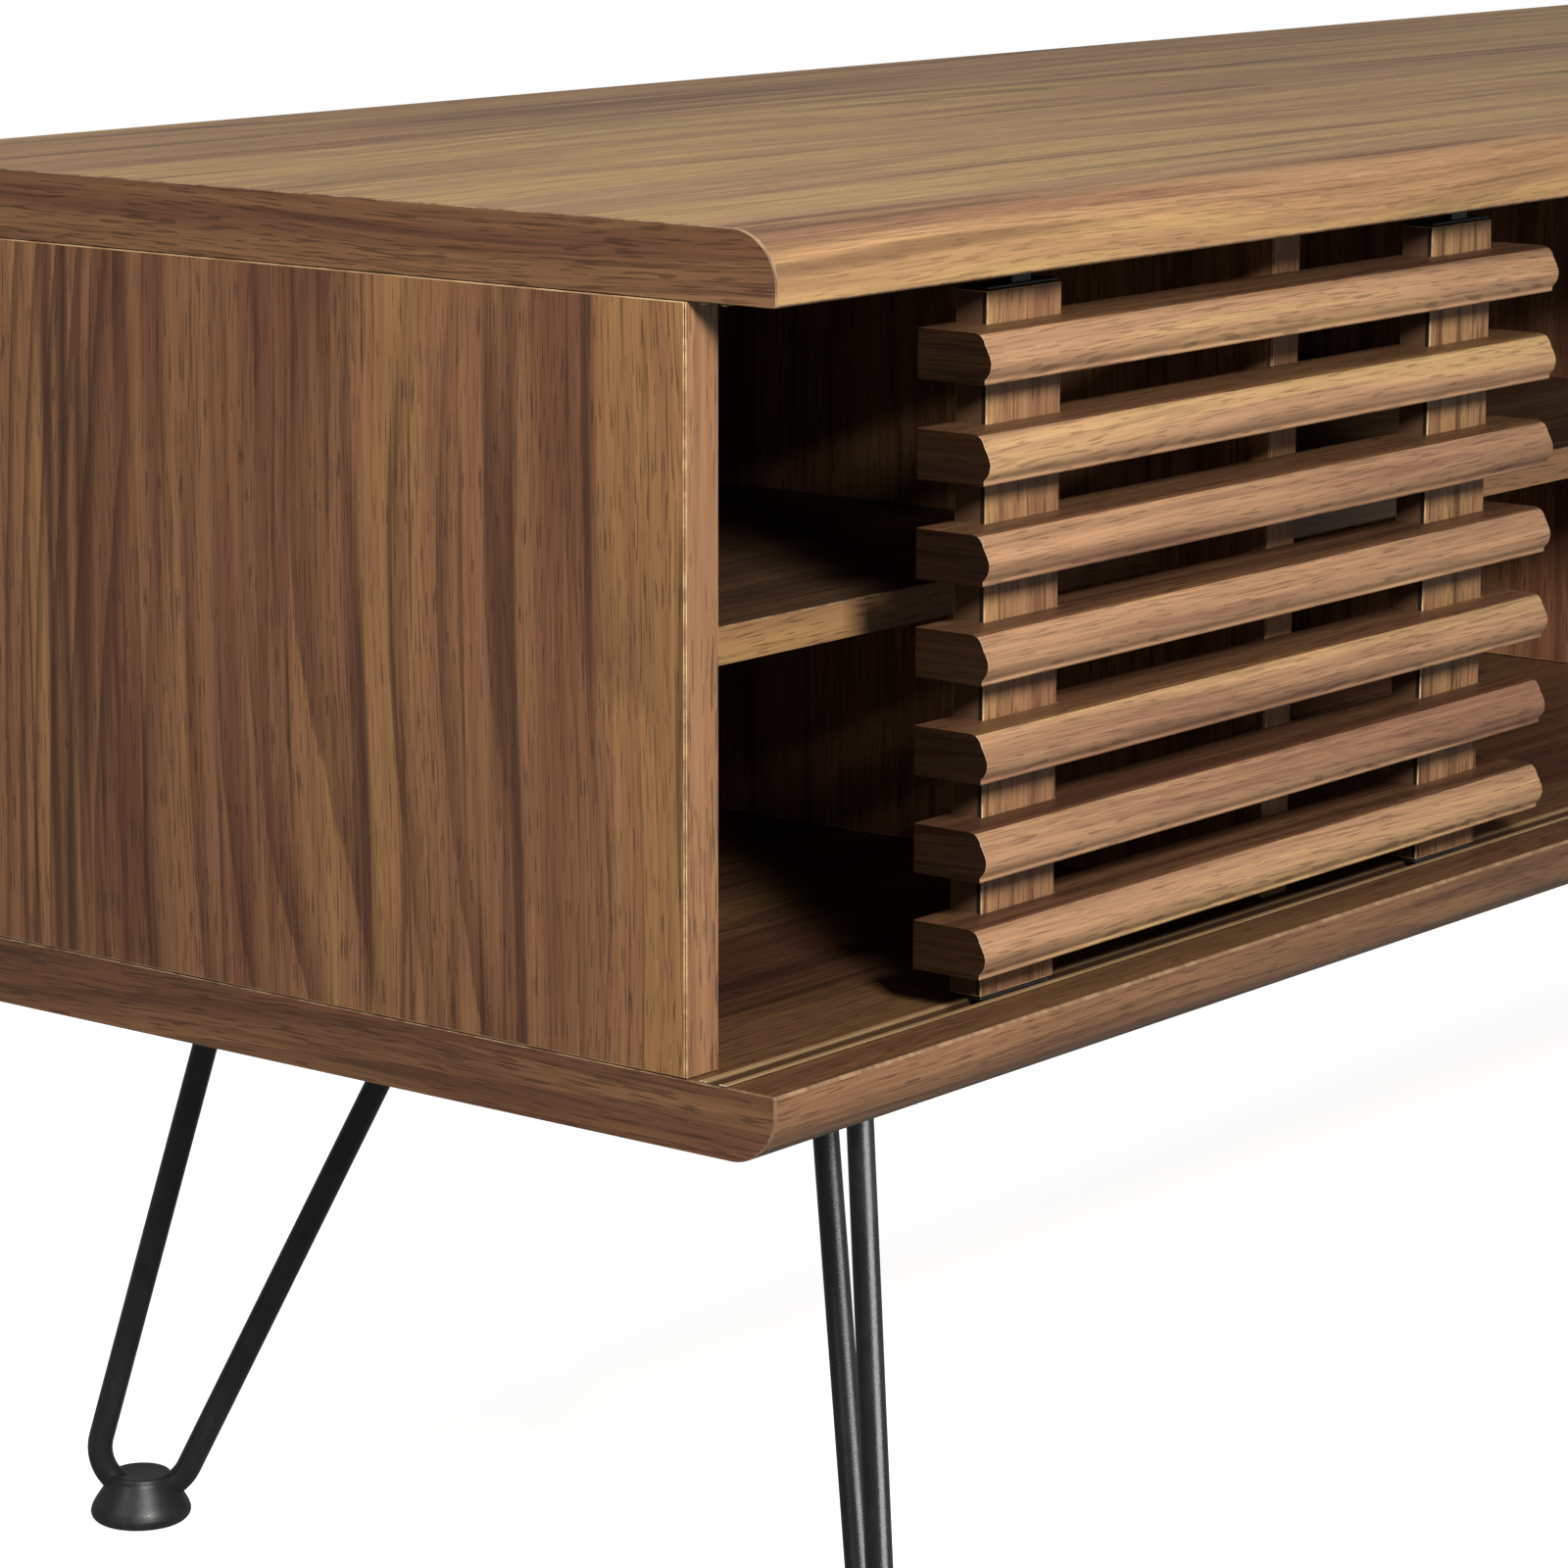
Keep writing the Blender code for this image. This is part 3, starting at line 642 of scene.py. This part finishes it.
# ---------------------------------------------------------------- sliding doors
SLATS = 7
LAP_DEEP = 0.0123         # how far the slats lap over the stiles
SHOULDER_R = 0.0046       # round upper edge of a slat
BOW = 0.0022              # how far its belly stands before its upper and lower edges
CREASE_UP = 0.0018        # crease above the lip, from the underside
BELLY = ((0.0007, 0.58), (0.0, 0.42), (0.0006, 0.24))        # behind the front, share of height
LIP = ((0.0024, 0.0012), (0.0023, 0.0004), (0.0027, 0.0))    # behind the front, above the underside


def slat_outline(lo, hi, back):
    """Section of a slat in (y, z): round shoulder, full belly, a crease and a thin lip below."""
    tall = hi.z - lo.z
    front, edge = lo.y, lo.y + BOW
    nose = arc(edge + SHOULDER_R, hi.z - SHOULDER_R, SHOULDER_R, 90, 168, 8)
    belly = spline([nose[-1], *((front + behind, lo.z + tall * share) for behind, share in BELLY),
                    (edge, lo.z + CREASE_UP)], 5)
    lip = [(front + behind, lo.z + above) for behind, above in LIP]
    deep = hi.y - LAP_DEEP
    return [(back, hi.z), (deep, hi.z), *nose, *belly[1:], *lip, (deep, lo.z), (back, lo.z)]


def slat(side, number, stiles):
    """Slat lapped over the two stiles."""
    node = f"door_{side}_slat_{number}"
    lo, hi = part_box(node)
    cuts = sorted((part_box(s)[0].x - GAP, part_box(s)[1].x + GAP) for s in stiles)
    deep = hi.y - LAP_DEEP
    stations = [(lo.x, hi.y)]
    for x0, x1 in cuts:
        stations += [(x0, hi.y), (x0, deep), (x1, deep), (x1, hi.y)]
    stations += [(hi.x, hi.y)]
    rings = [[(x, y, z) for y, z in slat_outline(lo, hi, back)] for x, back in stations]
    made = piece(f"slat_{side}_{number}", loft(rings), f"door_{side}",
                 [wood_slat, edge_wear_highlight_x, wood_slat_end_shaded, wood_slat_flat_shaded], [node],
                 smooth=24)
    # painted shade: top, underside and back of the slat take the darker copy
    for direction in ((0, 0, 1), (0, 0, -1), (0, 1, 0)):
        paint_faces(made, direction, THIRD)
    eased(made, SLAT_EASE, angle=50)


for side in SIDES:
    stiles = [f"door_{side}_stile_{letter}" for letter in "ab"]
    for number in range(1, SLATS + 1):
        slat(side, number, stiles)


# ---------------------------------------------------------------- CAD nodes that stay
WELD_DIST = 0.000005      # joins the triangles' loose corners
FLAT_ANGLE = 1            # degrees under which faces count as one plane


def dress(node, material, ease, segments=2, angle=35, line=None):
    """Give a CAD node its material, clean its triangles and break its edges."""
    obj = NODES[node]
    obj.data.materials.clear()
    obj.data.materials.append(material)
    if line:
        obj.data.materials.append(line)
    weld = obj.modifiers.new("weld", "WELD")
    weld.merge_threshold = WELD_DIST
    flat = obj.modifiers.new("flat", "DECIMATE")
    flat.decimate_type = "DISSOLVE"
    flat.angle_limit = math.radians(FLAT_ANGLE)
    eased(obj, ease, segments, LINE if line else SAME, angle)


dress("back_panel", hardboard, EASE)
for side in SIDES:
    for letter in "ab":
        dress(f"door_{side}_stile_{letter}", wood_stile, EASE, line=edge_wear_highlight_z)
        dress(f"door_{side}_guide_top_{letter}", guide_plastic, PLASTIC_EASE)
        dress(f"door_{side}_glide_{letter}", guide_plastic, PLASTIC_EASE)
for corner in CORNERS:
    for number in (1, 2, 3):
        dress(f"screw_{corner}_{number}", screw_steel, SCREW_EASE, segments=1, angle=40)


# ---------------------------------------------------------------- hairpin legs
ROD_TOP_DROP = 0.0012     # rods' upper ends below the board, inside the plate
ROD_SUNK = 0.0030         # rod's upper side at the bend, below the top of the foot
ROD_CORNERS = 28
BEND_STEPS = 32
PLATE_CORNER_R = 0.008
PLATE_Z = LEG_H - GAP - PLATE_T   # underside of the plates
HOLE_CORNERS = 24
BEAD_GAP = 0.0002         # weld bead off the rod
BEAD_WIDE = 0.0019
BEAD_TALL = 0.0016
RIPPLES = ((0.13, 11, 0), (0.08, 3, 1))   # weld ripple: depth, waves round the rod, phase
FOOT_RIM_R = 0.0032       # round lower rim of the foot
FOOT_LIP_R = 0.0014       # round upper rim
FOOT_CORNERS = 64


def leg_place(corner):
    """Place and turn of a leg: its plane stands across the corner, +u pointing inward."""
    sx, sy = CORNERS[corner]
    turn = math.radians(LEG_TURN)
    low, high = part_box(f"screw_{corner}_2")
    centre = Vector(((low.x + high.x) / 2, (low.y + high.y) / 2, 0))
    return Matrix.Translation(centre) @ Matrix.Rotation(
        math.atan2(-sy * math.sin(turn), -sx * math.cos(turn)), 4, "Z")


def tangent(u, z, cu, cz, side):
    """Touch point on the foot bend for a straight rod from (u, z)."""
    du, dz = cu - u, cz - z
    far = math.hypot(du, dz)
    angle = math.atan2(dz, du) - side * math.asin(BEND_R / far)
    run = math.sqrt(far * far - BEND_R * BEND_R)
    return u + run * math.cos(angle), z + run * math.sin(angle)


def rod_path(foot_h):
    """Centre line of one bent rod in (u, z), u across the corner, z from the floor."""
    top = LEG_H - ROD_TOP_DROP
    cu, cz = BEND_IN - LEAN, foot_h - ROD_R - ROD_SUNK + BEND_R
    left, right = (tangent(s * -ROD_HALF, top, cu, cz, s) for s in (1, -1))
    a0, a1 = (math.degrees(math.atan2(z - cz, u - cu)) % 360 for u, z in (left, right))
    if a1 < a0:
        a1 += 360
    bend = arc(cu, cz, BEND_R, a0, a1, BEND_STEPS)
    runs = (0.0, 0.25, 0.5, 0.75)
    down = [(-ROD_HALF + (left[0] + ROD_HALF) * t, top + (left[1] - top) * t) for t in runs]
    rise = [(right[0] + (ROD_HALF - right[0]) * (1 - t), right[1] + (top - right[1]) * (1 - t))
            for t in reversed(runs)]
    return down + bend + rise


def tube(path):
    """Sweep a round section along a path in the (u, z) plane, ends level."""
    rings = []
    for i, (u, z) in enumerate(path):
        before, after = path[max(i - 1, 0)], path[min(i + 1, len(path) - 1)]
        run = Vector((after[0] - before[0], 0, after[1] - before[1])).normalized()
        if i in (0, len(path) - 1):
            run = Vector((0, 0, -1 if i == 0 else 1))
        over = Vector((0, 1, 0))
        side = run.cross(over).normalized()
        turn = (2 * math.pi * k / ROD_CORNERS for k in range(ROD_CORNERS))
        rings.append([Vector((u, 0, z)) + (over * math.cos(t) + side * math.sin(t)) * ROD_R
                      for t in turn])
    return loft(rings)


def weld_bead(u):
    """Rippled fillet where a rod meets the plate."""
    bm = bmesh.new()
    around, across = 48, 6
    rows = []
    for k in range(around):
        turn = 2 * math.pi * k / around
        swell = 1 + sum(deep * math.sin(turn * waves + phase) for deep, waves, phase in RIPPLES)
        row = []
        for m in range(across):
            t = math.radians(-10 + 200 * m / (across - 1))
            r = ROD_R + BEAD_GAP + BEAD_WIDE * swell * max(math.cos(t / 2), 0)
            drop = BEAD_TALL * swell * math.sin(max(t, 0) / 2)
            row.append(bm.verts.new((u + r * math.cos(turn), r * math.sin(turn), PLATE_Z - drop)))
        rows.append(row)
    for a, b in zip(rows, rows[1:] + rows[:1]):
        for m in range(across - 1):
            bm.faces.new((a[m], b[m], b[m + 1], a[m + 1]))
    return bm


def plate_mesh():
    """Rounded mounting plate with its three screw holes."""
    r = PLATE_CORNER_R
    half_l, half_w = PLATE_L / 2, PLATE_W / 2
    rim = []
    for cx, cy, start in ((half_l - r, half_w - r, 0), (r - half_l, half_w - r, 90),
                          (r - half_l, r - half_w, 180), (half_l - r, r - half_w, 270)):
        rim += arc(cx, cy, r, start, start + 90, 8)
    bm = bmesh.new()
    last = 360 - 360 / HOLE_CORNERS
    holes = [arc(u, 0, SCREW_HOLE_R, 0, last, HOLE_CORNERS - 1) for u in SCREW_AT]
    for loop in (rim, *holes):
        low = [bm.verts.new((x, y, PLATE_Z)) for x, y in loop]
        for a, b in zip(low, low[1:] + low[:1]):
            bm.edges.new((a, b))
    bmesh.ops.triangle_fill(bm, use_beauty=True, edges=bm.edges)
    bmesh.ops.dissolve_limit(bm, angle_limit=0.01, verts=bm.verts, edges=bm.edges)
    grown = bmesh.ops.extrude_face_region(bm, geom=list(bm.faces))
    lifted = [v for v in grown["geom"] if isinstance(v, bmesh.types.BMVert)]
    bmesh.ops.translate(bm, vec=(0, 0, PLATE_T), verts=lifted)
    return bm


def foot_mesh(foot_h):
    """Flared cap: rounded lower rim, hollow waist, soft top rim and a slight dish."""
    profile = [(0.0, 0.0), (FOOT_R - 0.0040, 0.0)]
    profile += arc(FOOT_R - FOOT_RIM_R, FOOT_RIM_R, FOOT_RIM_R, -90, 8, 8)
    profile += spline([profile[-1], (FOOT_R - 0.0010, 0.0062), (FOOT_TOP_R + 0.0026, 0.0106),
                       (FOOT_TOP_R - 0.0002, foot_h - 0.0022)], 5)[1:]
    profile += arc(FOOT_TOP_R - 0.0018, foot_h - FOOT_LIP_R, FOOT_LIP_R, 10, 100, 6)
    profile += [(FOOT_TOP_R - 0.0050, foot_h - 0.0008), (0.0, foot_h - 0.0010)]
    return lathe(profile, FOOT_CORNERS)


front_legs = bpy.data.collections.new("front_legs")     # what the card lights
shaded_legs = bpy.data.collections.new("shaded_legs")   # what the key leaves out
for corner in CORNERS:
    place = leg_place(corner)
    foot_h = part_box(f"foot_{corner}")[1].z
    to_foot = Matrix.Translation((-LEAN, 0, 0))
    for stem, bm, shift, material, slot, replaced in (
            ("rod", tube(rod_path(foot_h)), Matrix(), powder_coat, "black_steel",
             [f"leg_{corner}"]),
            ("leg_plate", plate_mesh(), Matrix(), powder_coat, "black_steel", []),
            ("weld_outer", weld_bead(-ROD_HALF), Matrix(), powder_coat, "black_steel", []),
            ("weld_inner", weld_bead(ROD_HALF), Matrix(), powder_coat, "black_steel", []),
            ("foot_cap", foot_mesh(foot_h), to_foot, foot_plastic, "foot_plastic",
             [f"foot_{corner}"])):
        bmesh.ops.transform(bm, matrix=place @ shift, verts=bm.verts)
        made = piece(f"{stem}_{corner}", bm, "cabinet", [material] * 3, replaced, smooth=35)
        if corner.startswith("front"):
            front_legs.objects.link(made)
            shaded_legs.objects.link(made)
        if stem == "leg_plate":
            eased(made, EASE, angle=50)


# ---------------------------------------------------------------- studio
FLOOR_HALF = 9.0
FLOOR_DROP = 0.0002       # floor below the feet, so that the two do not meet
FLOOR_GREY = 0.86
FLOOR_GLOW = 0.80
ROOM_LIGHT = 0.21         # strength of the surround as a light
SENSOR = 36.0             # millimetres, as the lens
LENS = 121.41
CAMERA_AT = (-1.16991, -1.12837, 0.63726)
CAMERA_YAW = 0.90177      # radians from +Y towards +X
CAMERA_PITCH = 0.20304    # radians down
CAMERA_ROLL = -0.00252
WARM = (1.0, 0.98, 0.94)
SOFT_WARM = (1.0, 0.97, 0.93)
NEUTRAL = (1, 1, 1)


def floor():
    """Plain pale floor that glows a little and sends no light back to the cabinet."""
    bm = bmesh.new()
    bmesh.ops.create_grid(bm, x_segments=2, y_segments=2, size=FLOOR_HALF)
    bmesh.ops.translate(bm, vec=(0, 0, -FLOOR_DROP), verts=bm.verts)
    mesh = bpy.data.meshes.new("floor")
    bm.to_mesh(mesh)
    bm.free()
    look = Shader("floor")
    look.feed(Base_Color=(FLOOR_GREY, FLOOR_GREY, FLOOR_GREY, 1.0), Roughness=0.9,
              Specular_IOR_Level=0.1, Emission_Color=(1.0, 1.0, 1.0, 1.0),
              Emission_Strength=FLOOR_GLOW)
    mesh.materials.append(look.material)
    obj = bpy.data.objects.new("floor", mesh)
    obj.visible_diffuse = False
    obj.visible_glossy = False
    bpy.context.scene.collection.objects.link(obj)


def near_end(x, y, z):
    """A place measured from the middle of the left end, at floor level."""
    return Vector((x - X_END, y, z))


def area(name, at, target, size, power, colour):
    """Soft box at a point, turned to a target."""
    light = bpy.data.lights.new(name, "AREA")
    light.shape = "RECTANGLE"
    light.size, light.size_y = size
    light.energy = power
    light.color = colour
    obj = bpy.data.objects.new(name, light)
    obj.location = at
    obj.rotation_euler = (Vector(target) - Vector(at)).to_track_quat("-Z", "Y").to_euler()
    obj.visible_camera = False
    bpy.context.scene.collection.objects.link(obj)
    return obj


def world():
    """White surround for the camera, a dim room for the light."""
    surround = bpy.data.worlds.new("studio")
    bpy.context.scene.world = surround
    surround.use_nodes = True
    tree = surround.node_tree
    tree.nodes.clear()
    rays = tree.nodes.new("ShaderNodeLightPath")
    seen, room = (tree.nodes.new("ShaderNodeBackground") for _ in range(2))
    seen.inputs["Color"].default_value = (1.0, 1.0, 1.0, 1.0)
    room.inputs["Color"].default_value = (1.0, 1.0, 1.0, 1.0)
    room.inputs["Strength"].default_value = ROOM_LIGHT
    both = tree.nodes.new("ShaderNodeMixShader")
    out = tree.nodes.new("ShaderNodeOutputWorld")
    tree.links.new(rays.outputs["Is Camera Ray"], both.inputs[0])
    tree.links.new(room.outputs[0], both.inputs[1])
    tree.links.new(seen.outputs[0], both.inputs[2])
    tree.links.new(both.outputs[0], out.inputs[0])


def camera():
    """Long lens from the front left, a little above the top board."""
    yaw, level = CAMERA_YAW, math.cos(CAMERA_PITCH)
    ahead = Vector((math.sin(yaw) * level, math.cos(yaw) * level, -math.sin(CAMERA_PITCH)))
    right = Vector((math.cos(yaw), -math.sin(yaw), 0))
    down = -right.cross(ahead)
    across, tilt = math.cos(CAMERA_ROLL), math.sin(CAMERA_ROLL)
    right, down = right * across + down * tilt, down * across - right * tilt
    data = bpy.data.cameras.new("camera")
    data.sensor_width = SENSOR
    data.lens = LENS
    obj = bpy.data.objects.new("camera", data)
    turn = Matrix((right, -down, -ahead)).transposed()
    obj.matrix_world = Matrix.Translation(near_end(*CAMERA_AT)) @ turn.to_4x4()
    bpy.context.scene.collection.objects.link(obj)
    bpy.context.scene.camera = obj


# name, place, target, size, watts, colour
LIGHTS = (
    ("key", (-0.62, -1.36, 1.12), (0.22, -0.19, 0.40), (0.32, 0.32), 43.0, WARM),
    ("side", (-2.05, 0.35, 1.90), (0, 0, 0.36), (0.8, 0.8), 10.0, SOFT_WARM),
    ("over", (0.85, 0.10, 2.50), (0.65, 0, 0.49), (2.4, 1.4), 15.0, NEUTRAL),
    ("card", (0.02, -1.70, 0.50), (0.10, -0.10, 0.12), (1.2, 1.1), 46.0, NEUTRAL))

floor()
lights = {name: area(name, near_end(*at), near_end(*target), size, power, colour)
          for name, at, target, size, power, colour in LIGHTS}
lights["card"].light_linking.receiver_collection = front_legs
lights["key"].light_linking.receiver_collection = shaded_legs
for entry in shaded_legs.collection_objects:
    entry.light_linking.link_state = "EXCLUDE"
world()
camera()
bpy.context.scene.view_settings.view_transform = "Standard"
